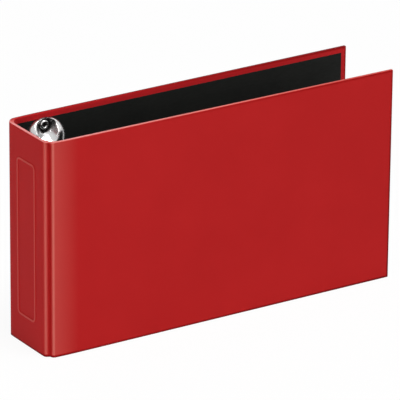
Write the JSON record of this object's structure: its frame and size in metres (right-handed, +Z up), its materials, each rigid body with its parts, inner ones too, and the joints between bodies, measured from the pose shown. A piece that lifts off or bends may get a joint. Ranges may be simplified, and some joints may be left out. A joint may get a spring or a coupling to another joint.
{
  "type": "two-ring binder",
  "caption": "Landscape ring binder standing on its long edge: red wrapped covers and spine on creased hinges, black lining, and a snap ring mechanism riveted inside the back cover.",
  "frame": {"origin": "middle of the outer box's bottom, on the surface that the binder stands on", "axes": "+X from the spine to the fore edge, +Y from the front cover to the back cover, +Z up the height of the covers"},
  "size_m": [0.25, 0.055, 0.14],
  "materials": {
    "red_film": "fine-grained satin film",
    "black_lining": "matt black lining paper",
    "grey_board": "grey board, covered",
    "bright_steel": "bright nickel-plated steel"
  },
  "bodies": {
    "spine": {"spine_skin": "red_film", "spine_board": "grey_board", "spine_lining": "black_lining", "front_hinge_film": "red_film", "front_hinge_lining": "black_lining", "back_hinge_film": "red_film", "back_hinge_lining": "black_lining"},
    "front_cover": {"front_skin": "red_film", "front_board": "grey_board", "front_lining": "black_lining"},
    "back_cover": {"back_skin": "red_film", "back_board": "grey_board", "back_lining": "black_lining", "ring_housing": "bright_steel", "upper_rivet": "bright_steel", "lower_rivet": "bright_steel"},
    "spine_side_jaw": {"spine_side_blade": "bright_steel", "upper_ring_spine_side": "bright_steel", "lower_ring_spine_side": "bright_steel"},
    "fore_side_jaw": {"fore_side_blade": "bright_steel", "upper_ring_fore_side": "bright_steel", "lower_ring_fore_side": "bright_steel"}
  },
  "joints": [
    {"name": "front_cover_hinge", "type": "hinge", "parent": "spine", "child": "front_cover", "pos_m": [-0.123, -0.02199, 0.07], "axis": [0, 0, -1], "range_deg": [-0.8, 150], "deforming": ["front_hinge_film", "front_hinge_lining"]},
    {"name": "back_cover_hinge", "type": "hinge", "parent": "spine", "child": "back_cover", "pos_m": [-0.123, 0.02401, 0.07], "axis": [0, 0, 1], "range_deg": [0, 150], "deforming": ["back_hinge_film", "back_hinge_lining"]},
    {"name": "fore_side_ring_opening", "type": "hinge", "parent": "back_cover", "child": "fore_side_jaw", "pos_m": [-0.08663, 0.02226, 0.07], "axis": [0, 0, 1], "range_deg": [0, 18]},
    {"name": "spine_side_ring_opening", "type": "hinge", "parent": "back_cover", "child": "spine_side_jaw", "pos_m": [-0.11137, 0.02226, 0.07], "axis": [0, 0, -1], "range_deg": [0, 18]}
  ],
  "couplings": [
    {"joint": "spine_side_ring_opening", "follows": "fore_side_ring_opening", "ratio": 1}
  ]
}
